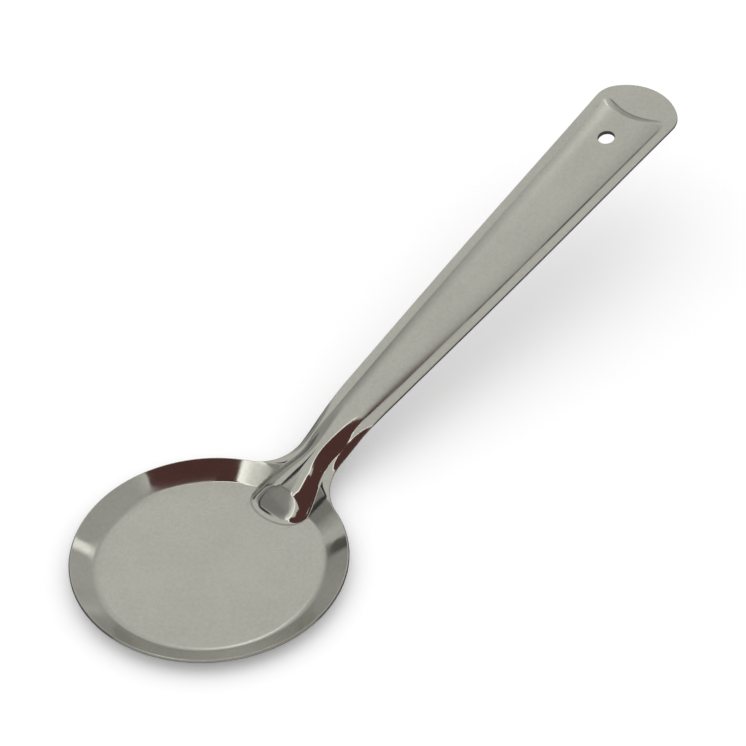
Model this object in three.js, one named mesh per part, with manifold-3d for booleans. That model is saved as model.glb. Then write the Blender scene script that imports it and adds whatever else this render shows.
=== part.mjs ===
// Rice serving spoon pressed from one blank of stainless steel sheet.
// Millimetres, +Z up. The origin is on the underside of the flat bowl floor, at the bowl's centre.
// The handle runs along +X. The sheet is one piece from the bowl's rim to the handle's end.
import * as THREE from 'three'
import { mergeVertices } from 'three/addons/utils/BufferGeometryUtils.js'
import Module from 'manifold-3d'

// Sheet and overall size
const SHEET_THICKNESS = 0.85
const OVERALL_LENGTH = 239

// Bowl: a flat round floor, a rounded knuckle and a low sloping wall
const BOWL_RADIUS = 37
const WALL_RUN = 6.8
const WALL_RISE = 3.9
const KNUCKLE_RADIUS = 4.5

// Handle outline: sides with a slight bulge that widen to a blunt end with round corners
const NECK_WIDTH = 13.6
const END_WIDTH = 27.2
const SIDE_BULGE = 0.35
const NECK_FILLET_RADIUS = 13.2
const END_ARC_RADIUS = 16.5
const END_CORNER_RADIUS = 7.5

// Handle slope and the climb of its edges out of the bowl's rim
const HANDLE_TILT_DEG = 11
const NECK_CLIMB = 4.1
const NECK_RUN = 22.5
const RIM_BEND = 1.4

// Raised crowned panel between two flat edge flanges, ending at an arc before the handle's end
const PANEL_CROWN = 1.45
const FLANGE_WIDTH = 2.9
const PANEL_CREASE = 0.12
const CRESCENT_RADIUS = 18
const CRESCENT_SETBACK = 11.8
const CRESCENT_SLOPE_LENGTH = 3

// Neck: round its middle, beyond the rim, the rib's foot is soft and the flanges droop
const NECK_MIDDLE = 13
const NECK_REACH = 16
const NECK_CREASE = 0.8
const FLANGE_DROOP = 1.4

// Toe: the panel runs on as a rib over the neck and ends in a blunt nose on the bowl's floor
const TOE_REACH = 14.8
const TOE_WIDTH = 18.2
const TOE_ROUND = 4.5
const TOE_CREASE = 0.35
const RIB_FLARE_RUN = 9
const NOSE_REACH = 6.5
const NOSE_RADIUS = 13

// Crest of the rib: straight along the handle, dipping towards the toe
const CREST_DIP = 3.5
const CREST_DIP_RUN = 35
const CREST_ROUND = 0.8
const LIFT_BLEND = 1

// Crispness of the edges where the rib's sides meet its nose and its crescent: more is sharper
const RIB_CRISPNESS = 2.6

// Fullness of the rib's cross-section: 1 is a roof's straight slopes, 2 a parabola, more is flatter on top
const TOE_FULLNESS = 2.6
const RIDGE_FULLNESS = 1.8
const PANEL_FULLNESS = 2.4
const PANEL_RUN = 30

// Hanging hole through the panel
const HOLE_DIAMETER = 5
const HOLE_SETBACK = 24.5

// Facets: stations along the outline of one half, rows before, across and after each crease
const BOWL_STATIONS = 32
const FILLET_STATIONS = 16
const SIDE_STATIONS = 40
const SIDE_CROWDING = 1.5
const CORNER_STATIONS = 5
const END_STATIONS = 5
const BOWL_ROWS = [2, 5, 8]
const HANDLE_ROWS = [5, 2, 2]
const CREASE_BAND = 0.6
const KNUCKLE_BAND = 1.4
const SEARCH_STEPS = 400
const HOLE_SIDES = 32

const { clamp, lerp } = THREE.MathUtils
const tiltSlope = Math.tan(THREE.MathUtils.degToRad(HANDLE_TILT_DEG))
const wallSlope = WALL_RISE / WALL_RUN
const floorRadius = BOWL_RADIUS - WALL_RUN
const knuckleHalf = (KNUCKLE_RADIUS * wallSlope) / 2
const neckHalf = NECK_WIDTH / 2
const endHalf = END_WIDTH / 2
const endX = OVERALL_LENGTH - BOWL_RADIUS
const toeX = BOWL_RADIUS - TOE_REACH
const noseX = BOWL_RADIUS - NOSE_REACH
const neckX = BOWL_RADIUS + NECK_MIDDLE
const flareX = BOWL_RADIUS + RIB_FLARE_RUN

// Side of the handle as a line at angle taper, from the neck's width at the rim to the end's width
const taper = Math.atan2(endHalf - neckHalf, endX - endHalf - BOWL_RADIUS)
const sideNormal = new THREE.Vector2(-Math.sin(taper), Math.cos(taper))
const sideAlong = new THREE.Vector2(Math.cos(taper), Math.sin(taper))
const sideOffset = sideNormal.dot(new THREE.Vector2(BOWL_RADIUS, neckHalf))

// Concave fillet that leads the bowl's rim into the side
const filletOffset = sideOffset + NECK_FILLET_RADIUS
const filletAlong = Math.sqrt((BOWL_RADIUS + NECK_FILLET_RADIUS) ** 2 - filletOffset ** 2)
const filletCentre = sideNormal.clone().multiplyScalar(filletOffset).addScaledVector(sideAlong, filletAlong)
const filletAngle = Math.atan2(filletCentre.y, filletCentre.x)
const sideStart = filletCentre.clone().addScaledVector(sideNormal, -NECK_FILLET_RADIUS)

// Blunt end: an arc across the axis, and a corner arc that leads the side into it
const endCentre = new THREE.Vector2(endX - END_ARC_RADIUS, 0)
const cornerOffset = sideOffset - END_CORNER_RADIUS - sideNormal.dot(endCentre)
const cornerAlong = Math.sqrt((END_ARC_RADIUS - END_CORNER_RADIUS) ** 2 - cornerOffset ** 2)
const cornerCentre = endCentre.clone()
  .addScaledVector(sideNormal, cornerOffset)
  .addScaledVector(sideAlong, cornerAlong)
const cornerAngle = Math.atan2(cornerCentre.y, cornerCentre.x - endCentre.x)
const sideEnd = cornerCentre.clone().addScaledVector(sideNormal, END_CORNER_RADIUS)

const smoothstep = (t) => THREE.MathUtils.smoothstep(t, 0, 1)

// The larger of zero and a, rounded over a band of half width b
const softPositive = (a, b) => (a < -b ? 0 : a > b ? a : (a + b) ** 2 / (4 * b))

// Extra half width of the handle at a share of its side's length
const sideBulge = (share) => SIDE_BULGE * Math.sin(Math.PI * share) ** 2

function sideHalfWidth(x) {
  const share = clamp((x - sideStart.x) / (sideEnd.x - sideStart.x), 0, 1)
  return neckHalf + Math.tan(taper) * (x - BOWL_RADIUS) + sideBulge(share)
}

// Height of the sheet's upper face without the rib, by distance from the bowl's axis
function baseHeight(r) {
  if (r <= BOWL_RADIUS) return wallSlope * softPositive(r - floorRadius, knuckleHalf)
  const s = r - BOWL_RADIUS
  const bend = (wallSlope - tiltSlope) * RIM_BEND
  const climb = (NECK_CLIMB - bend) * smoothstep(s / NECK_RUN)
  return WALL_RISE + tiltSlope * s + bend * (1 - Math.exp(-s / RIM_BEND)) + climb
}

function crestHeight(x) {
  const dip = CREST_DIP * Math.max(0, 1 - (x - noseX) / CREST_DIP_RUN) ** 2
  return WALL_RISE + NECK_CLIMB + PANEL_CROWN + tiltSlope * (x - BOWL_RADIUS) - dip
}

// Half the width of the panel, which flares out to the toe inside the bowl
function ribHalfWidth(x) {
  const start = toeX + TOE_ROUND
  const flare = TOE_WIDTH / 2 - (sideHalfWidth(start) - FLANGE_WIDTH)
  const narrowing = smoothstep((x - start) / (flareX - start))
  return sideHalfWidth(Math.max(x, start)) - FLANGE_WIDTH + flare * (1 - narrowing)
}

function ribFullness(x) {
  const toeMiddle = BOWL_RADIUS - TOE_REACH / 2
  const ridged = lerp(TOE_FULLNESS, RIDGE_FULLNESS, smoothstep((x - toeMiddle) / (neckX - toeMiddle)))
  return ridged + (PANEL_FULLNESS - RIDGE_FULLNESS) * smoothstep((x - neckX) / PANEL_RUN)
}

// Way down from the rib's crest, 0, to the crease at its foot, 1, going across the rib
function wayAcross(x, y) {
  const power = (v) => Math.hypot(v, CREST_ROUND) ** ribFullness(x)
  return (power(y) - power(0)) / (power(ribHalfWidth(x)) - power(0))
}

// Way down the toe's front face, which bows back from its tip
function wayDownNose(x, y) {
  const bow = Math.min(y ** 2 / (2 * NOSE_RADIUS), (noseX - toeX) / 2)
  return Math.max(0, (noseX - x) / (noseX - toeX - bow))
}

// Way down the arc-shaped slope that ends the panel
function wayDownCrescent(x, y) {
  const centreX = endX - CRESCENT_SETBACK + CRESCENT_RADIUS
  if (x > centreX) return 1
  const before = Math.hypot(centreX - x, y) - CRESCENT_RADIUS
  return Math.max(0, 1 - before / CRESCENT_SLOPE_LENGTH)
}

// Share of the rib's full height at a point: 1 on the crest, 0 on the crease round its foot, less outside
function ribShare(x, y) {
  const ways = [wayAcross(x, y), wayDownNose(x, y), wayDownCrescent(x, y)]
  const sum = ways.reduce((total, way) => total + way ** RIB_CRISPNESS, 0)
  return 1 - sum ** (1 / RIB_CRISPNESS)
}

// Half width of the rounding along the rib's foot, as a height
function creaseBlend(x) {
  const plain = lerp(TOE_CREASE, PANEL_CREASE, smoothstep((x - BOWL_RADIUS) / RIB_FLARE_RUN))
  return plain + NECK_CREASE * smoothstep(1 - Math.abs(x - flareX) / NECK_REACH)
}

// Height of the sheet's upper face over its floor
function upperHeight(x, y) {
  const over = crestHeight(x) - baseHeight(Math.abs(x)) - PANEL_CROWN
  const lift = PANEL_CROWN + softPositive(over, LIFT_BLEND)
  const flange = clamp((Math.abs(y) - ribHalfWidth(x)) / FLANGE_WIDTH, 0, 1.3)
  const droop = FLANGE_DROOP * flange ** 2 * smoothstep(1 - Math.abs(x - neckX) / NECK_REACH)
  return baseHeight(Math.hypot(x, y)) + softPositive(lift * ribShare(x, y), creaseBlend(x)) - droop
}

// Point on the upper face, and the point one sheet thickness below it along the surface's normal
function sheetPoints({ x, y }) {
  const d = 0.02
  const slopeX = (upperHeight(x + d, y) - upperHeight(x - d, y)) / (2 * d)
  const slopeY = (upperHeight(x, y + d) - upperHeight(x, y - d)) / (2 * d)
  const upper = new THREE.Vector3(x, y, SHEET_THICKNESS + upperHeight(x, y))
  const normal = new THREE.Vector3(-slopeX, -slopeY, 1).normalize()
  return { upper, lower: upper.clone().addScaledVector(normal, -SHEET_THICKNESS) }
}

// n points of an arc in the blank's plane, without the last one
function arcPoints(centre, radius, from, to, n) {
  return Array.from({ length: n }, (_, i) => {
    const a = lerp(from, to, i / n)
    return new THREE.Vector2(Math.cos(a), Math.sin(a)).multiplyScalar(radius).add(centre)
  })
}

// Points of one station from the axis out to the outline, in three runs that meet either side of its crease
function station(axis, edge, crease, halfBand, counts) {
  const band = halfBand / axis.distanceTo(edge)
  const middle = clamp(crease, 1.5 * band, 1 - 1.5 * band)
  const stops = [0, middle - band, middle + band, 1]
  const shares = counts.flatMap((n, k) =>
    Array.from({ length: n }, (_, i) => lerp(stops[k], stops[k + 1], i / n)))
  return [...shares, 1].map((share) => axis.clone().lerp(edge, share))
}

// Share of a ray from the bowl's centre at which it first meets the rib
function ribMeeting(edge) {
  for (let i = 0; i <= SEARCH_STEPS; i++) {
    const share = i / SEARCH_STEPS
    if (ribShare(edge.x * share, edge.y * share) > 0) return share
  }
  return 1
}

// One half of the handle: lines across it from the axis to the side, crowded towards the crescent, then a fan
// round the blunt end
function handleGrid() {
  const sides = Array.from({ length: SIDE_STATIONS }, (_, i) => {
    const share = 1 - (1 - i / SIDE_STATIONS) ** SIDE_CROWDING
    return sideStart.clone().lerp(sideEnd, share).addScaledVector(sideNormal, sideBulge(share))
  })
  const corner = arcPoints(cornerCentre, END_CORNER_RADIUS, Math.PI / 2 + taper, cornerAngle, CORNER_STATIONS)
  const end = arcPoints(endCentre, END_ARC_RADIUS, cornerAngle, 0, END_STATIONS)
  return [...sides, ...corner, ...end, new THREE.Vector2(endX, 0)].map((edge) => {
    const axis = new THREE.Vector2(Math.min(edge.x, sideEnd.x), 0)
    return station(axis, edge, 1 - FLANGE_WIDTH / axis.distanceTo(edge), CREASE_BAND, HANDLE_ROWS)
  })
}

// One half of the bowl and neck: rays from the bowl's centre to its rim, the fillet and the handle's first line
function bowlGrid(neckLine) {
  const centre = new THREE.Vector2()
  const rim = arcPoints(centre, BOWL_RADIUS, Math.PI, filletAngle, BOWL_STATIONS)
  const fillet = arcPoints(
    filletCentre, NECK_FILLET_RADIUS, Math.PI + filletAngle, 1.5 * Math.PI + taper, FILLET_STATIONS)
  rim[0].y = 0
  return [...rim, ...fillet, ...neckLine.toReversed()].map((edge) => {
    const crease = Math.min(ribMeeting(edge), floorRadius / edge.length())
    return station(centre, edge, crease, KNUCKLE_BAND, BOWL_ROWS)
  })
}

// Closed shell of the sheet: upper face, lower face and the cut edge round the outline
function sheetGeometry() {
  const handle = handleGrid()
  const bowl = bowlGrid(handle[0])
  const position = []
  const index = []
  const face = (a, b, c, flip) => index.push(a, flip ? c : b, flip ? b : c)
  const addHalf = (grid, rimSpans, side) => {
    const rows = grid[0].length
    const block = grid.length * rows
    const start = position.length / 3
    for (const layer of ['upper', 'lower']) {
      for (const point of grid.flat()) {
        const p = sheetPoints(point)[layer]
        position.push(p.x, side * p.y, p.z)
      }
    }
    for (let i = 0; i + 1 < grid.length; i++) {
      for (let j = 0; j + 1 < rows; j++) {
        for (const layer of [0, 1]) {
          const a = start + layer * block + i * rows + j
          const flip = (side > 0) === (layer === 0)
          face(a, a + 1, a + rows + 1, flip)
          face(a, a + rows + 1, a + rows, flip)
        }
      }
    }
    for (let i = 0; i < rimSpans; i++) {
      const a = start + (i + 1) * rows - 1
      face(a, a + block, a + rows, side > 0)
      face(a + rows, a + block, a + rows + block, side > 0)
    }
  }
  for (const side of [1, -1]) {
    addHalf(bowl, BOWL_STATIONS + FILLET_STATIONS, side)
    addHalf(handle, handle.length - 1, side)
  }
  const geometry = new THREE.BufferGeometry()
  geometry.setAttribute('position', new THREE.Float32BufferAttribute(position, 3))
  geometry.setIndex(index)
  return withoutSlivers(mergeVertices(geometry, 1e-4))
}

// Triangles whose corners fell together at a fan's centre are dropped
function withoutSlivers(geometry) {
  const old = geometry.index.array
  const kept = []
  for (let i = 0; i < old.length; i += 3) {
    const [a, b, c] = [old[i], old[i + 1], old[i + 2]]
    if (a !== b && b !== c && c !== a) kept.push(a, b, c)
  }
  geometry.setIndex(kept)
  return geometry
}

const wasm = await Module()
wasm.setup()

function toManifold(geometry) {
  const merged = geometry.clone()
  merged.deleteAttribute('normal')
  merged.deleteAttribute('uv')
  const joined = mergeVertices(merged, 1e-4)
  const mesh = new wasm.Mesh({
    numProp: 3,
    vertProperties: Float32Array.from(joined.attributes.position.array),
    triVerts: Uint32Array.from(joined.index.array),
  })
  return new wasm.Manifold(mesh)
}

function toGeometry(manifold) {
  const mesh = manifold.getMesh()
  const geometry = new THREE.BufferGeometry()
  geometry.setAttribute('position', new THREE.Float32BufferAttribute(mesh.vertProperties, 3))
  geometry.setIndex(Array.from(mesh.triVerts))
  geometry.computeVertexNormals()
  return geometry
}

// Punch for the hanging hole, square to the handle
function holePunch() {
  const x = endX - HOLE_SETBACK
  const reach = 4 * (PANEL_CROWN + SHEET_THICKNESS)
  const punch = new THREE.CylinderGeometry(HOLE_DIAMETER / 2, HOLE_DIAMETER / 2, 2 * reach, HOLE_SIDES)
  punch.rotateX(Math.PI / 2)
  punch.rotateY(-THREE.MathUtils.degToRad(HANDLE_TILT_DEG))
  punch.translate(x, 0, SHEET_THICKNESS / 2 + upperHeight(x, 0))
  return punch
}

const steel = new THREE.MeshStandardMaterial({ color: '#a5a69e', roughness: 0.28, metalness: 1 })
const spoon = new THREE.Mesh(toGeometry(toManifold(sheetGeometry()).subtract(toManifold(holePunch()))), steel)
spoon.name = 'pressed_spoon'

const group = new THREE.Group()
group.name = 'rice_serving_spoon'
group.add(spoon)
export default group
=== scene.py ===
import math

import bpy
import numpy as np
from mathutils import Matrix, Vector


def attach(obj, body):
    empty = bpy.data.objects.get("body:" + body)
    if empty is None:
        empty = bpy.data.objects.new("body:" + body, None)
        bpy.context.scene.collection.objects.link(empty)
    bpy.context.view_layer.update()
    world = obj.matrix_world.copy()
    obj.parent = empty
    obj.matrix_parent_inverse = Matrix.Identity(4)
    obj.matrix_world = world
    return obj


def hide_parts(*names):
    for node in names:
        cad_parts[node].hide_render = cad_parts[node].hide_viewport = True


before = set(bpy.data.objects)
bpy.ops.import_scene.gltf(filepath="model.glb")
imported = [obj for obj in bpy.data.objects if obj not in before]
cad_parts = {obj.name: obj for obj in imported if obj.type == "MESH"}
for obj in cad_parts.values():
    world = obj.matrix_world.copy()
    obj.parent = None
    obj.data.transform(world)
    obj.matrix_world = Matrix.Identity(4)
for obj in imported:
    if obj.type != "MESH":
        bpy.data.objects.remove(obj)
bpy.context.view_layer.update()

# The spoon is one blank of stainless sheet, sheared to its outline, pressed between dies into a flat
# shallow bowl, a ribbed neck and a handle with a raised panel, then punched for a hanging hole and polished.
# All sizes are in millimetres until the mesh is made.
SHEET = 0.85
OVERALL = 239.0
BOWL_R = 37.0
WALL_RUN, WALL_RISE, KNUCKLE_R = 6.8, 3.9, 4.5
NECK_HALF, END_HALF, FILLET_R, SIDE_BULGE = 6.8, 13.6, 13.2, 0.35
END_ARC_R, CORNER_R = 16.5, 7.5
TILT = math.radians(11.0)
NECK_CLIMB, NECK_RUN, RIM_BEND = 4.1, 22.5, 1.4
CROWN, FLANGE, PANEL_CREASE = 1.45, 2.9, 0.12
CRESCENT_R, CRESCENT_BACK, CRESCENT_SLOPE = 18.0, 11.8, 3.0
NECK_MIDDLE, NECK_REACH, NECK_CREASE = 13.0, 16.0, 0.8
DROOP, DROOP_WIDTHS = 1.4, 1.3
TOE_REACH, TOE_HALF, TOE_ROUND, TOE_CREASE, FLARE_RUN = 14.8, 9.1, 4.5, 0.35, 9.0
NOSE_REACH, NOSE_R, CRISP = 6.5, 13.0, 2.6
CREST_DIP, DIP_RUN, LIFT_BLEND, CREST_ROUND = 3.5, 35.0, 1.0, 0.8
TOE_FULLNESS, RIDGE_FULLNESS, PANEL_FULLNESS, PANEL_RUN = 2.6, 1.8, 2.4, 30.0
HOLE_R, HOLE_BACK = 2.5, 24.5
EDGE_ROUND, BURR = 0.2, 0.6
FINE_SPAN, UNDER_SPAN = 0.01, 0.5

tilt_slope = math.tan(TILT)
wall_slope = WALL_RISE / WALL_RUN
floor_r = BOWL_R - WALL_RUN
knuckle_half = KNUCKLE_R * wall_slope / 2
end_x = OVERALL - BOWL_R
toe_x = BOWL_R - TOE_REACH
nose_x = BOWL_R - NOSE_REACH
neck_x = BOWL_R + NECK_MIDDLE
taper = math.atan2(END_HALF - NECK_HALF, end_x - END_HALF - BOWL_R)
side_n = np.array([-math.sin(taper), math.cos(taper)])
side_t = np.array([math.cos(taper), math.sin(taper)])
side_off = side_n @ (BOWL_R, NECK_HALF)
fillet_off = side_off + FILLET_R
fillet_c = fillet_off * side_n + math.sqrt((BOWL_R + FILLET_R) ** 2 - fillet_off ** 2) * side_t
fillet_a = math.atan2(fillet_c[1], fillet_c[0])
end_c = np.array([end_x - END_ARC_R, 0.0])
corner_off = side_off - CORNER_R - side_n @ end_c
corner_c = end_c + corner_off * side_n + math.sqrt((END_ARC_R - CORNER_R) ** 2 - corner_off ** 2) * side_t
corner_a = math.atan2(corner_c[1], corner_c[0] - end_c[0])
side_start = fillet_c - FILLET_R * side_n
side_end = corner_c + CORNER_R * side_n


def smooth(t):
    """Smoothstep from 0 to 1: three t squared less two t cubed."""
    t = np.clip(t, 0, 1)
    return t * t * (3 - 2 * t)


def soft_positive(a, b):
    """The larger of zero and a, with the corner rounded by a parabola over the band from -b to b."""
    return np.where(a < -b, 0, np.where(a > b, a, (a + b) ** 2 / (4 * b)))


def side_half(x):
    """Half the width between the handle's sides at x: a straight taper with a slight bulge."""
    along = np.clip((x - side_start[0]) / (side_end[0] - side_start[0]), 0, 1)
    return NECK_HALF + math.tan(taper) * (x - BOWL_R) + SIDE_BULGE * np.sin(np.pi * along) ** 2


def base_height(r):
    """Height of the upper face without the rib: flat floor, knuckle, sloping wall, then the handle's edges.

    Beyond the rim it is a straight climb, plus a bend that eases off the wall's slope, plus a smooth step.
    """
    beyond = np.maximum(r - BOWL_R, 0)
    bend = (wall_slope - tilt_slope) * RIM_BEND
    edge = WALL_RISE + tilt_slope * beyond + bend * (1 - np.exp(-beyond / RIM_BEND))
    edge = edge + (NECK_CLIMB - bend) * smooth(beyond / NECK_RUN)
    return np.where(r <= BOWL_R, wall_slope * soft_positive(r - floor_r, knuckle_half), edge)


def rib_half(x):
    """Half the width of the raised panel, which flares out to the toe inside the bowl."""
    start = toe_x + TOE_ROUND
    flare = TOE_HALF - (side_half(start) - FLANGE)
    flared = 1 - smooth((x - start) / (BOWL_R + FLARE_RUN - start))
    return side_half(np.maximum(x, start)) - FLANGE + flare * flared


def rib_share(x, y):
    """Share of the rib's height, 1 on its crest and 0 on the crease round its foot.

    One less the way down, a power sum of the ways across, down the toe's front and down the crescent. The way
    across is a power of the distance from the axis, the rib's fullness, which is least at the neck's middle.
    The toe's front bows back from its tip, and the crescent is a slope round an arc.
    """
    centre = end_x - CRESCENT_BACK + CRESCENT_R
    before = np.hypot(centre - x, y) - CRESCENT_R
    end = np.where(x > centre, 1, np.clip(1 - before / CRESCENT_SLOPE, 0, None))
    toe_mid = BOWL_R - TOE_REACH / 2
    full = TOE_FULLNESS + (RIDGE_FULLNESS - TOE_FULLNESS) * smooth((x - toe_mid) / (neck_x - toe_mid))
    full = full + (PANEL_FULLNESS - RIDGE_FULLNESS) * smooth((x - neck_x) / PANEL_RUN)
    foot, top = np.hypot(rib_half(x), CREST_ROUND) ** full, CREST_ROUND ** full
    across = (np.hypot(y, CREST_ROUND) ** full - top) / (foot - top)
    bow = np.minimum(y * y / (2 * NOSE_R), (nose_x - toe_x) / 2)
    front = np.clip((nose_x - x) / (nose_x - toe_x - bow), 0, None)
    return 1 - (across ** CRISP + front ** CRISP + end ** CRISP) ** (1 / CRISP)


def height(x, y):
    """Height of the upper face over the floor: the base, plus the rib's lift by its share, less the droop.

    The lift is the crest's straight line, dipped by a square towards the toe, less the base. The foot's
    crease is rounded, most of all at the neck, where the flanges droop by the square of the way across them.
    """
    dip = CREST_DIP * np.clip(1 - (x - nose_x) / DIP_RUN, 0, None) ** 2
    crest = WALL_RISE + NECK_CLIMB + CROWN + tilt_slope * (x - BOWL_R) - dip
    lift = CROWN + soft_positive(crest - base_height(np.abs(x)) - CROWN, LIFT_BLEND)
    flange = np.clip((np.abs(y) - rib_half(x)) / FLANGE, 0, DROOP_WIDTHS)
    droop = DROOP * flange ** 2 * smooth(1 - np.abs(x - neck_x) / NECK_REACH)
    crease = TOE_CREASE + (PANEL_CREASE - TOE_CREASE) * smooth((x - BOWL_R) / FLARE_RUN)
    crease = crease + NECK_CREASE * smooth(1 - np.abs(x - BOWL_R - FLARE_RUN) / NECK_REACH)
    return base_height(np.hypot(x, y)) + soft_positive(lift * rib_share(x, y), crease) - droop


def upper_face(xy, span=FINE_SPAN):
    """Points on the upper face and unit normals there, from the height's differences over a span each way."""
    x, y = xy[..., 0], xy[..., 1]
    gx = (height(x + span, y) - height(x - span, y)) / (2 * span)
    gy = (height(x, y + span) - height(x, y - span)) / (2 * span)
    n = np.stack([-gx, -gy, np.ones_like(gx)], -1)
    p = np.concatenate([xy, SHEET + height(x, y)[..., None]], -1)
    return p, n / np.linalg.norm(n, axis=-1, keepdims=True)


def banded(mid, half, counts):
    """Rows from 0 to 1 in three even bands: up to mid - half, across the feature at mid, and on to 1."""
    lo, hi = (mid - half)[:, None], (mid + half)[:, None]
    a, b, c = (np.linspace(0, 1, n + 1) for n in counts)
    return np.concatenate([lo * a[:-1], lo + (hi - lo) * b[:-1], hi + (1 - hi) * c], 1)


def arc(centre, radius, start, stop, n):
    """n points evenly spaced in angle on a circle's arc, and the unit spokes to them."""
    a = np.linspace(start, stop, n)
    spoke = np.stack([np.cos(a), np.sin(a)], -1)
    return np.asarray(centre) + radius * spoke, spoke


# Bowl patch, one half: rays from the bowl's centre to the rim, the neck fillet and a cut across the neck.
# Rows crowd at the knuckle, or at the toe's foot where a ray meets that first, evened out between the rays.
HANDLE_ROWS, BOWL_ROWS = (20, 12, 8), (6, 16, 28)
CREASE_BAND, KNUCKLE_BAND = 0.6, 1.6
BOWL_RAYS, FILLET_RAYS, EVEN_RAYS, PROBES = 110, 60, 8, 1500
cut_x, cut_half = side_start
cut_rows = banded(np.array([1 - FLANGE / cut_half]), np.array([CREASE_BAND / cut_half]), HANDLE_ROWS)[0]
cut_xy = np.stack([np.full_like(cut_rows, cut_x), cut_rows * cut_half], -1)
rim, rim_out = arc((0, 0), BOWL_R, math.pi, fillet_a, BOWL_RAYS + 1)
fillet, fillet_spoke = arc(fillet_c, FILLET_R, math.pi + fillet_a, 1.5 * math.pi + taper, FILLET_RAYS + 1)
outline_b = np.concatenate([rim[:-1], fillet])
out_b = np.concatenate([rim_out[:-1], -fillet_spoke])
ends = np.concatenate([outline_b - EDGE_ROUND * out_b, cut_xy[-2::-1]])
reach = np.linalg.norm(ends, axis=1)
probe = np.linspace(0, 1, PROBES)
hit = rib_share(ends[:, :1] * probe, ends[:, 1:] * probe) > 0
first = np.where(hit.any(1), probe[hit.argmax(1)] * reach, np.inf)
meeting = np.pad(np.minimum(first, floor_r), EVEN_RAYS, "edge")
evened = np.ones(2 * EVEN_RAYS + 1) / (2 * EVEN_RAYS + 1)
feature = np.convolve(meeting, evened, "valid") / reach
ends[0, 1] = ends[-1, 1] = 0
bowl_xy = ends[:, None] * banded(feature, KNUCKLE_BAND / reach, BOWL_ROWS)[..., None]

# Handle patch, one half: lines from the axis to the sides and round the end, with rows crowded at the crease
# and lines crowded towards the end.
SIDE_LINES, CORNER_LINES, END_LINES, CROWDING = 210, 24, 26, 1.5
along = 1 - (1 - np.linspace(0, 1, SIDE_LINES + 1)[:, None]) ** CROWDING
side = side_start + (side_end - side_start) * along + SIDE_BULGE * np.sin(np.pi * along) ** 2 * side_n
corner, corner_out = arc(corner_c, CORNER_R, math.pi / 2 + taper, corner_a, CORNER_LINES + 1)
tip, tip_out = arc(end_c, END_ARC_R, corner_a, 0, END_LINES + 1)
outline_h = np.concatenate([side[:-1], corner[:-1], tip])
out_h = np.concatenate([np.broadcast_to(side_n, side[:-1].shape), corner_out[:-1], tip_out])
axis_x = np.minimum(outline_h[:, 0], side_end[0])
axis = np.stack([axis_x, 0 * axis_x], -1)
inset = outline_h - EDGE_ROUND * out_h
inset[-1, 1] = 0
line = inset - axis
span = np.linalg.norm(line, axis=1)
steps = banded(1 - FLANGE / span, CREASE_BAND / span, HANDLE_ROWS)
handle_xy = axis[:, None] + line[:, None] * steps[..., None]
handle_xy[0] = cut_xy
handle_xy[0, -1] = inset[0]
bowl_xy[BOWL_RAYS + FILLET_RAYS, -1] = inset[0]

# Both halves of the handle side by side, so that the hole's square of cells can be drawn in to a circle.
# The cells round it, as far again, ease back to the plain grid.
HOLE_LINES, HOLE_ROWS = 6, 8
MIRROR = np.array([1.0, -1.0])
full_xy = np.concatenate([handle_xy[:, :0:-1] * MIRROR, handle_xy], 1)
rows = handle_xy.shape[1] - 1
hole = np.array([end_x - HOLE_BACK, 0.0])
near = int(np.abs(axis_x - hole[0]).argmin())
di = (np.arange(len(axis_x)) - near)[:, None] / HOLE_LINES
dj = (np.arange(2 * rows + 1) - rows)[None, :] / HOLE_ROWS
ring = np.maximum(np.abs(di), np.abs(dj))
turn = np.arctan2(dj + 0 * di, di + 0 * dj)
spoke = np.stack([np.cos(turn), np.sin(turn)], -1)
round_xy = hole + (HOLE_R + EDGE_ROUND) * spoke
eased = np.clip(ring - 1, 0, 1)[..., None]
full_xy = np.where((ring < 2)[..., None], round_xy * (1 - eased) + full_xy * eased, full_xy)
in_square = np.maximum(np.abs(di[:-1] + 0.5 / HOLE_LINES), np.abs(dj[:, :-1] + 0.5 / HOLE_ROWS)) < 1
step_i, step_j = np.arange(-HOLE_LINES, HOLE_LINES), np.arange(-HOLE_ROWS, HOLE_ROWS)
far_i, far_j = np.full_like(step_j, HOLE_LINES), np.full_like(step_i, HOLE_ROWS)
loop_i = near + np.concatenate([step_i, far_i, -step_i, -far_i, [-HOLE_LINES]])
loop_j = rows + np.concatenate([-far_j, step_j, far_j, -step_j, [-HOLE_ROWS]])

verts, normals, faces = [], [], []


def add_grid(p, n, keep=None):
    """Store a grid of points with normals, and two triangles per cell that face the way the normals do."""
    i = np.arange(p.shape[0] * p.shape[1]).reshape(p.shape[:2])
    a, b, c, d = i[:-1, :-1], i[1:, :-1], i[1:, 1:], i[:-1, 1:]
    cells = np.stack([np.stack([a, b, c], -1), np.stack([a, c, d], -1)], 2)
    tri = (cells if keep is None else cells[keep]).reshape(-1, 3)
    q, m = p.reshape(-1, 3), n.reshape(-1, 3)
    facing = (np.cross(q[tri[:, 1]] - q[tri[:, 0]], q[tri[:, 2]] - q[tri[:, 0]]) * m[tri].sum(1)).sum()
    faces.append((tri[:, ::-1] if facing < 0 else tri) + sum(map(len, verts)))
    verts.append(q)
    normals.append(m)


def add_sheet(xy, keep=None):
    """Both faces of the sheet over a grid in plan, the lower one a sheet's thickness down the normal."""
    p, n = upper_face(xy)
    add_grid(p, n, keep)
    n = upper_face(xy, UNDER_SPAN)[1]
    add_grid(p - SHEET * n, -n, keep)


EDGE_POINTS = 5


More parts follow.
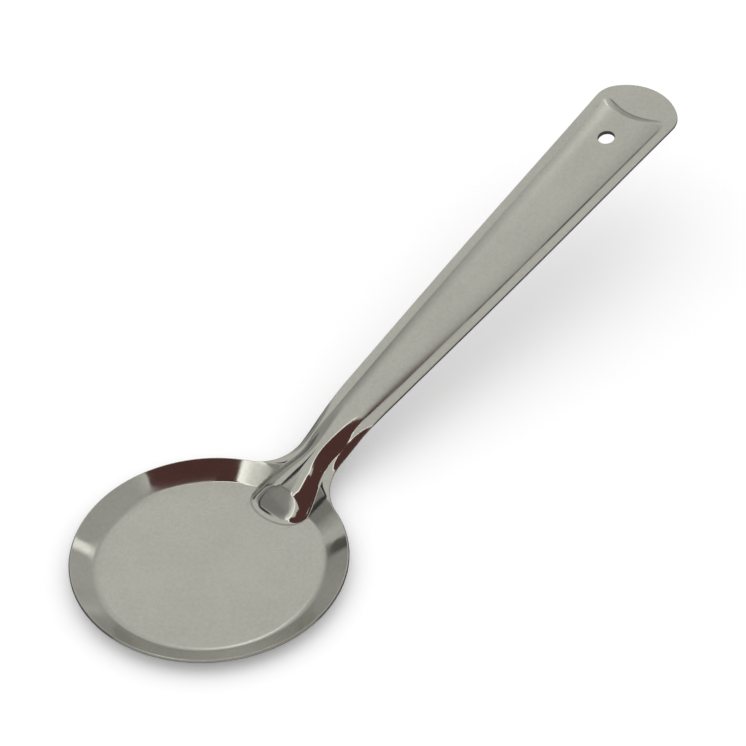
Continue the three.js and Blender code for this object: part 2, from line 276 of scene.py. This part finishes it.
def add_edge(xy, out, burr=0.0):
    """The sheared edge: from the upper face round a small corner, down the cut and round to the lower face.

    A burr carries the cut on below the lower face as a thin lip.
    """
    p, n = upper_face(xy, UNDER_SPAN)
    o = np.concatenate([out, -(n[:, :2] * out).sum(1, keepdims=True) / n[:, 2:]], 1)
    o /= np.linalg.norm(o, axis=1, keepdims=True)
    a = np.linspace(0, math.pi / 2, EDGE_POINTS)
    side_go = np.concatenate([np.sin(a), np.cos(a), [-1.0]])
    up_go = np.concatenate([np.cos(a), -np.sin(a), [0.0]])
    go = EDGE_ROUND * np.concatenate([np.sin(a), np.cos(a), [0.0]])
    upper, lower = EDGE_ROUND * (1 - np.cos(a)), SHEET + burr - EDGE_ROUND * (1 - np.sin(a))
    down = np.concatenate([upper, lower, [SHEET]])
    q = p[:, None] + go[:, None] * o[:, None] - down[:, None] * n[:, None]
    m = side_go[:, None] * o[:, None] + up_go[:, None] * n[:, None]
    add_grid(q, m)


add_sheet(bowl_xy)
add_sheet(bowl_xy * MIRROR)
add_sheet(full_xy, keep=~in_square)
edge_b = bowl_xy[:BOWL_RAYS + FILLET_RAYS + 1, -1]
add_edge(edge_b, out_b)
add_edge(edge_b * MIRROR, out_b * MIRROR)
add_edge(full_xy[:, -1], out_h)
add_edge(full_xy[:, 0], out_h * MIRROR)
add_edge(full_xy[loop_i, loop_j], -spoke[loop_i, loop_j], BURR)

# The patches are welded where their points meet, and the mesh is made in metres.
WELD, METRES = 2e-4, 0.001
verts = np.concatenate(verts)
normals = np.concatenate(normals)
cell = np.round(verts / WELD).astype(np.int64)
_, first_of, same = np.unique(cell, axis=0, return_index=True, return_inverse=True)
faces = same.reshape(-1)[np.concatenate(faces)]
a, b, c = faces.T
faces = faces[(a != b) & (b != c) & (c != a)]
verts, normals = verts[first_of], normals[first_of]

mesh = bpy.data.meshes.new("pressed_sheet")
mesh.from_pydata((verts * METRES).tolist(), [], faces.tolist())
mesh.shade_smooth()
mesh.normals_split_custom_set_from_vertices(normals.tolist())
spoon = bpy.data.objects.new("pressed_sheet", mesh)
bpy.context.scene.collection.objects.link(spoon)

# Marks at each vertex, one number each: how brightly the sheet is buffed (the wall and the neck), painted
# shade that darkens the creases and the hole's wall, and the bare sheared metal of the edges and the hole's
# wall.
# Each mark fades in from a place over a run, in millimetres, and a run below zero fades it the other way.
WALL_SHINE, WALL_SHINE_END = (floor_r - 1.2, 5.2), 45
NECK_SHINE_IN, NECK_SHINE_OUT, NECK_SHINE_HALF = (20, 5), (75, -25), 20
PANEL_IN, PANEL_OUT, LEFT_SHARE = (55, 25), (end_x - 11, -3), 0.3
TOE_IN, TOE_OUT, TOE_SHARE = (15, 3), (30, -4), 0.6
CRESCENT_IN, CRESCENT_SIDES = (end_x - 16, 3), (10.3, -2.5)
SHADE_WIDTH, SHADE_SLOPE_SPAN, LEAST_SLOPE = 0.25, 0.05, 1e-3
HOLE_MARGIN, HOLE_SHADE, CUT_START = 0.5, 0.9, 60
# Upright faces are told by how far their normals point up or down, from 0 to 1.
UPRIGHT = (0.75, -0.3)


def fade(value, place, run):
    """Smoothstep of how far the value has gone from a place, as a share of the run."""
    return smooth((value - place) / run)


x, y = verts[:, 0], verts[:, 1]
neck = fade(x, *NECK_SHINE_IN) * fade(x, *NECK_SHINE_OUT) * (np.abs(y) < NECK_SHINE_HALF)
bright = np.maximum(fade(np.hypot(x, y), *WALL_SHINE) * (x < WALL_SHINE_END), neck)
# Painted shade: a dark line along the crease round the rib's foot, fading within a fraction of a millimetre,
# on the panel (fainter on the left), the toe and the crescent.
slope_x = rib_share(x + SHADE_SLOPE_SPAN, y) - rib_share(x - SHADE_SLOPE_SPAN, y)
slope_y = rib_share(x, y + SHADE_SLOPE_SPAN) - rib_share(x, y - SHADE_SLOPE_SPAN)
slope = np.hypot(slope_x, slope_y) / (2 * SHADE_SLOPE_SPAN)
from_crease = rib_share(x, y) / np.maximum(slope, LEAST_SLOPE)
on_panel = fade(x, *PANEL_IN) * np.where(y < 0, 1.0, LEFT_SHARE) * fade(x, *PANEL_OUT)
on_toe = TOE_SHARE * fade(x, *TOE_OUT) * fade(x, *TOE_IN)
on_crescent = fade(x, *CRESCENT_IN) * fade(np.abs(y), *CRESCENT_SIDES)
in_crease = np.exp(-(from_crease / SHADE_WIDTH) ** 2)
painted_shade = in_crease * np.maximum(np.maximum(on_panel, on_toe), on_crescent)
upright = fade(np.abs(normals[:, 2]), *UPRIGHT)
in_hole = np.hypot(x - hole[0], y) < HOLE_R + HOLE_MARGIN
# Painted shade also darkens the hole's upright wall.
painted_shade = np.maximum(painted_shade, HOLE_SHADE * upright * in_hole)
sheared = upright * (in_hole | (x > CUT_START))
for name, value in {"bright_polish": bright, "crease_painted_shade": painted_shade, "sheared_edge": sheared}.items():
    mesh.attributes.new(name, "FLOAT", "POINT").data.foreach_set("value", value.astype(np.float32))

# Polished stainless steel: mirror bright on the wall and neck, satin on the floor and the handle, with fine
# belt lines along the handle, cloudy wiping marks, painted shade in the creases and on the hole's wall, and
# greyer cut edges.
# The Mix node's sockets have their numbers here: two colours in and a colour out.
MIX_A, MIX_B, MIX_OUT = 6, 7, 2


def linear(code):
    """Linear colour of an sRGB hex code."""
    c = np.array([int(code[i:i + 2], 16) for i in (1, 3, 5)]) / 255
    return (*np.where(c <= 0.04045, c / 12.92, ((c + 0.055) / 1.055) ** 2.4), 1.0)


def node(tree, kind, links=None, **settings):
    """Add a shader node, set its sockets or properties by name, and link the sockets given."""
    n = tree.nodes.new(kind)
    for key, value in settings.items():
        if key in n.inputs:
            n.inputs[key].default_value = value
        else:
            setattr(n, key, value)
    for key, source in (links or {}).items():
        tree.links.new(source, n.inputs[key])
    return n


# Pattern sizes in millimetres. Belt lines and grain are far finer on real steel, and are drawn as coarse as
# they need to show. Wiping marks are as wide as a fingertip, and the press leaves ripples.
BELT_GAP, BELT_LENGTH, GRAIN_WIDTH, WIPE_WIDTH, RIPPLE_WIDTH = 0.8, 17.0, 1.1, 18.0, 9.0


def per_metre(width):
    """How many times a pattern of a width in millimetres repeats in a metre."""
    return 1000 / width


steel = bpy.data.materials.new("polished_stainless")
steel.use_nodes = True
tree = steel.node_tree
shader = tree.nodes["Principled BSDF"]
shader.inputs["Metallic"].default_value = 1.0
place = node(tree, "ShaderNodeTexCoord").outputs["Object"]
polish = node(tree, "ShaderNodeAttribute", attribute_name="bright_polish").outputs["Fac"]
painted_shade_in = node(tree, "ShaderNodeAttribute", attribute_name="crease_painted_shade").outputs["Fac"]
shear = node(tree, "ShaderNodeAttribute", attribute_name="sheared_edge").outputs["Fac"]
belt_scale = (per_metre(BELT_LENGTH), per_metre(BELT_GAP), per_metre(BELT_GAP))
belt_map = node(tree, "ShaderNodeMapping", {"Vector": place}, Scale=belt_scale)
belt = node(tree, "ShaderNodeTexNoise", {"Vector": belt_map.outputs["Vector"]}, Scale=1.0, Detail=3.0)
cloud = node(tree, "ShaderNodeTexNoise", {"Vector": place},
             Scale=per_metre(WIPE_WIDTH), Detail=4.0, Roughness=0.6)
grain = node(tree, "ShaderNodeTexNoise", {"Vector": place}, Scale=per_metre(GRAIN_WIDTH), Detail=1.0)
ripple = node(tree, "ShaderNodeTexNoise", {"Vector": place}, Scale=per_metre(RIPPLE_WIDTH), Detail=1.0)

# Painted shade in the creases and on the hole's wall, made patchy by the wiping clouds.
patchy = node(tree, "ShaderNodeMapRange", {"Value": cloud.outputs["Fac"]})
for key, value in {"From Min": 0.35, "From Max": 0.6, "To Min": 0.5, "To Max": 1.0}.items():
    patchy.inputs[key].default_value = value
patchy_painted_shade = node(tree, "ShaderNodeMath", {0: painted_shade_in, 1: patchy.outputs["Result"]}, operation="MULTIPLY")
painted_shade_share = patchy_painted_shade.outputs[0]
tint = node(tree, "ShaderNodeMix", {"Factor": cloud.outputs["Fac"]}, data_type="RGBA")
tint.inputs[MIX_A].default_value = linear("#a7a69d")
tint.inputs[MIX_B].default_value = linear("#b5b4ab")
speck = node(tree, "ShaderNodeMix", {"Factor": grain.outputs["Fac"], MIX_A: tint.outputs[MIX_OUT]},
             data_type="RGBA", blend_type="MULTIPLY")
speck.inputs[MIX_B].default_value = linear("#eeeeee")
# The painted shade darkens the colour towards a dark grey.
shade_mixed = node(tree, "ShaderNodeMix", {"Factor": painted_shade_share, MIX_A: speck.outputs[MIX_OUT]}, data_type="RGBA")
shade_mixed.inputs[MIX_B].default_value = linear("#4c4b47")
bare = node(tree, "ShaderNodeMix", {"Factor": shear, MIX_A: shade_mixed.outputs[MIX_OUT]}, data_type="RGBA")
bare.inputs[MIX_B].default_value = linear("#85867f")
tree.links.new(bare.outputs[MIX_OUT], shader.inputs["Base Color"])

gloss = node(tree, "ShaderNodeMapRange", {"Value": polish})
gloss.inputs["To Min"].default_value = 0.26
gloss.inputs["To Max"].default_value = 0.05
wiped = node(tree, "ShaderNodeMapRange", {"Value": cloud.outputs["Fac"]})
wiped.inputs["To Min"].default_value = -0.03
wiped.inputs["To Max"].default_value = 0.05
dull = node(tree, "ShaderNodeMath", {0: painted_shade_share, 1: shear}, operation="MAXIMUM")
dulled = node(tree, "ShaderNodeMath", {0: dull.outputs[0], 2: wiped.outputs["Result"]},
              operation="MULTIPLY_ADD")
dulled.inputs[1].default_value = 0.3
rough = node(tree, "ShaderNodeMath", {0: gloss.outputs["Result"], 1: dulled.outputs[0]},
             operation="ADD", use_clamp=True)
tree.links.new(rough.outputs[0], shader.inputs["Roughness"])

wavy = node(tree, "ShaderNodeMapRange", {"Value": polish})
wavy.inputs["To Min"].default_value = 0.0
wavy.inputs["To Max"].default_value = 0.35
dents = node(tree, "ShaderNodeBump", {"Height": ripple.outputs["Fac"], "Strength": wavy.outputs["Result"]},
             Distance=0.0002)
lines = node(tree, "ShaderNodeBump", {"Height": belt.outputs["Fac"], "Normal": dents.outputs["Normal"]},
             Strength=0.1, Distance=0.00002)
tree.links.new(lines.outputs["Normal"], shader.inputs["Normal"])
mesh.materials.append(steel)
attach(spoon, "root")
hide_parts("pressed_spoon")

# Plain white table that takes the spoon's shadow. In the polish it is painted mid-grey, as painted shade for
# the spoon's shadow round it, and it is a little brighter to the eye.
TABLE_HALF = 3.0
floor_mesh = bpy.data.meshes.new("floor")
floor_corners = [(TABLE_HALF * i, TABLE_HALF * j, 0) for i, j in ((-1, -1), (1, -1), (1, 1), (-1, 1))]
floor_mesh.from_pydata(floor_corners, [], [(0, 1, 2, 3)])
floor = bpy.data.objects.new("floor", floor_mesh)
bpy.context.scene.collection.objects.link(floor)
white = bpy.data.materials.new("white_table")
white.use_nodes = True
tree = white.node_tree
surface = tree.nodes["Principled BSDF"]
surface.inputs["Roughness"].default_value = 0.9
surface.inputs["Emission Color"].default_value = linear("#ffffff")
seen = node(tree, "ShaderNodeLightPath")
# Painted shade: glossy rays see the table mid-grey instead of white.
table_shade_in_polish = node(tree, "ShaderNodeMix", {"Factor": seen.outputs["Is Glossy Ray"]}, data_type="RGBA")
table_shade_in_polish.inputs[MIX_A].default_value = linear("#fafafa")
table_shade_in_polish.inputs[MIX_B].default_value = linear("#808080")
tree.links.new(table_shade_in_polish.outputs[MIX_OUT], surface.inputs["Base Color"])
glow = node(tree, "ShaderNodeMath", {0: seen.outputs["Is Camera Ray"]}, operation="MULTIPLY")
glow.inputs[1].default_value = 0.16
tree.links.new(glow.outputs[0], surface.inputs["Emission Strength"])
floor_mesh.materials.append(white)

# Soft even studio light, a little dimmer near the horizon, as a room is.
world = bpy.data.worlds.new("studio")
world.use_nodes = True
tree = world.node_tree
sky = tree.nodes["Background"]
toward = node(tree, "ShaderNodeTexCoord")
split = node(tree, "ShaderNodeSeparateXYZ", {"Vector": toward.outputs["Generated"]})
dim = node(tree, "ShaderNodeMapRange", {"Value": split.outputs["Z"]})
for key, value in {"From Min": 0.0, "From Max": 0.68, "To Min": 0.48, "To Max": 1.0}.items():
    dim.inputs[key].default_value = value
tree.links.new(dim.outputs["Result"], sky.inputs["Strength"])
sky.inputs["Color"].default_value = linear("#ffffff")
bpy.context.scene.world = world

# Plain cards that only the polish mirrors, as in a studio, in metres: a dark one overhead with white ones
# beside it, a dark post and a board behind, grey screens round the sides that fade out, and small lights.
CARD_Z, CARD_MID, CARD_WAY, BACK_Y = 0.7, np.array([0.02, 0.01]), np.array([-0.76, -0.65]), 0.75
SCREEN_FAR, LIGHT_FAR = 2.0, 1.9


def add_card(name, points, cover, code, strength):
    """A card over a grid of points, in metres, that glows with one colour and shows in reflections alone.

    Its cover, from 0 to 1 at each point, is how far it hides what is behind it, so that its edges can fade.
    """
    points = np.array(points, float)
    m, n = points.shape[:2]
    i = np.arange(m * n).reshape(m, n)
    quads = np.stack([i[:-1, :-1], i[1:, :-1], i[1:, 1:], i[:-1, 1:]], -1).reshape(-1, 4)
    card_mesh = bpy.data.meshes.new(name)
    card_mesh.from_pydata(points.reshape(-1, 3).tolist(), [], quads.tolist())
    shares = np.broadcast_to(cover, (m, n)).astype(np.float32).ravel()
    card_mesh.attributes.new("cover", "FLOAT", "POINT").data.foreach_set("value", shares)
    card = bpy.data.objects.new(name, card_mesh)
    bpy.context.scene.collection.objects.link(card)
    paper = bpy.data.materials.new(name)
    paper.use_nodes = True
    tree = paper.node_tree
    tree.nodes.clear()
    share = node(tree, "ShaderNodeAttribute", attribute_name="cover")
    glow = node(tree, "ShaderNodeEmission", Color=linear(code), Strength=strength)
    clear = node(tree, "ShaderNodeBsdfTransparent")
    mixed = {0: share.outputs["Fac"], 1: clear.outputs[0], 2: glow.outputs[0]}
    mix = node(tree, "ShaderNodeMixShader", mixed)
    node(tree, "ShaderNodeOutputMaterial", {"Surface": mix.outputs[0]})
    card_mesh.materials.append(paper)
    card.visible_camera = card.visible_diffuse = card.visible_shadow = card.visible_transmission = False


def overhead(rows):
    """Rows of points on a level plane, from shares of its height along the cards' way and across it."""
    sideways = np.array([-CARD_WAY[1], CARD_WAY[0]])
    return [[(*(CARD_MID + CARD_Z * (along * CARD_WAY + across * sideways)), CARD_Z) for along, across in row]
            for row in rows]


def behind(rows):
    """Rows of points on an upright plane behind the spoon, each from its height and the places along it."""
    return [[(u, BACK_Y, z) for u in places] for z, places in rows]


def screen(azimuths, elevations, distance):
    """Grid of points round the spoon by their directions in degrees, one row to each elevation.

    Azimuth 0 is towards -Y and 90 is towards +X.
    """
    a, e = np.radians(azimuths), np.radians(elevations)[:, None]
    level = distance * np.cos(e)
    return np.stack([level * np.sin(a), -level * np.cos(a), distance * np.sin(e) + 0 * a], -1)


near_edge = ((0.12, -0.26), (0.05, 0.2), (0.06, 0.28), (0.1, 0.4),
             (0.1, 0.5), (0.05, 0.62), (-0.1, 0.9), (-0.1, 1.75))
far_edge = ((0.25, -0.26), (0.6, 0.2), (0.65, 0.28), (0.8, 0.4),
            (0.95, 0.5), (1.0, 0.62), (1.0, 0.9), (0.65, 1.75))
add_card("dark_card", overhead((near_edge, far_edge)), 1, "#6e4a48", 1.0)
white_rows = (((-0.02, -0.27), (0.22, -0.27), (0.7, -0.27)), ((-0.02, -0.36), (0.22, -0.36), (0.7, -0.36)),
              ((0.05, -0.5), (0.3, -0.66), (0.7, -0.66)))
add_card("white_card", overhead(white_rows), [[1], [0.4], [0]], "#ffffff", 2.4)
strip_rows = (((0.08, -0.27), (0.115, -0.27)), ((0.01, 0.2), (0.045, 0.2)), ((0.02, 0.28), (0.055, 0.28)))
add_card("white_strip", overhead(strip_rows), 1, "#ffffff", 2.4)

EDGES_FADE = (0, 1, 1, 0)
ALL_FADE = np.outer(EDGES_FADE, EDGES_FADE)
post_rows = ((0.0, (0.08, 0.12, 0.22, 0.26)), (0.22, (0.0, 0.03, 0.09, 0.12)), (0.4, (0.0, 0.02, 0.08, 0.1)))
add_card("dark_post", behind(post_rows), EDGES_FADE, "#707070", 1.0)
board_rows = ((0.55, (-0.45, -0.43, -0.38, -0.36)), (1.05, (-0.08, -0.06, 0.04, 0.07)),
              (1.2, (-0.065, -0.05, 0.09, 0.11)), (1.4, (-0.06, -0.045, 0.09, 0.11)),
              (1.46, (-0.06, -0.045, 0.09, 0.11)))
add_card("dark_board", behind(board_rows), np.outer((1, 1, 1, 1, 0), EDGES_FADE), "#484848", 1.0)

left_screen = screen((-176, -168, -140, -125, -110), (5, 30, 60, 67, 73), SCREEN_FAR)
add_card("left_screen", left_screen, np.outer((1, 1, 1, 0.7, 0), (0, 1, 1, 0.8, 0)), "#aaaaaa", 1.0)
back_screen = screen((156, 167, 178), (5, 24, 34), SCREEN_FAR)
add_card("back_screen", back_screen, np.outer((1, 1, 0), (0, 1, 1)), "#c2c2c2", 1.0)
right_screen = screen((15, 35, 60, 85, 105), (8, 25, 50, 62, 70), SCREEN_FAR)
add_card("right_screen", right_screen, np.outer((0.6, 1, 1, 1, 0), (0, 1, 1, 1, 0)), "#dadada", 1.0)
add_card("back_light", screen((105, 118, 142, 152), (6, 12, 24, 30), SCREEN_FAR), ALL_FADE, "#ffffff", 0.95)
add_card("knuckle_light", screen((135, 137, 140, 142), (20, 23, 33, 36), LIGHT_FAR), ALL_FADE, "#ffffff", 3.6)
add_card("side_strip", screen((81, 83, 86, 88), (10, 14, 34, 40), LIGHT_FAR), ALL_FADE, "#ffffff", 1.8)

# Camera fitted to the photograph: its direction and roll, the point it looks at and its distance in metres,
# and its focal length in pixels of the photograph's width.
AZIMUTH, ELEVATION, ROLL = math.radians(-49.822), math.radians(42.435), math.radians(-1.022)
AIM, DISTANCE = Vector((0.085684, 0.014253, 0.00085)), 0.748284
SENSOR_WIDTH, FOCAL_PIXELS, PHOTO_PIXELS = 36, 2600, 746
level = math.cos(ELEVATION)
back = Vector((math.sin(AZIMUTH) * level, -math.cos(AZIMUTH) * level, math.sin(ELEVATION)))
right = Vector((math.cos(AZIMUTH), math.sin(AZIMUTH), 0))
up = back.cross(right)
right, up = right * math.cos(ROLL) + up * math.sin(ROLL), up * math.cos(ROLL) - right * math.sin(ROLL)
lens = bpy.data.cameras.new("camera")
lens.sensor_width = SENSOR_WIDTH
lens.lens = SENSOR_WIDTH * FOCAL_PIXELS / PHOTO_PIXELS
camera = bpy.data.objects.new("camera", lens)
camera.matrix_world = Matrix((right, up, back)).transposed().to_4x4()
camera.location = AIM + DISTANCE * back
bpy.context.scene.collection.objects.link(camera)
bpy.context.scene.camera = camera

bpy.context.scene.view_settings.view_transform = "Standard"
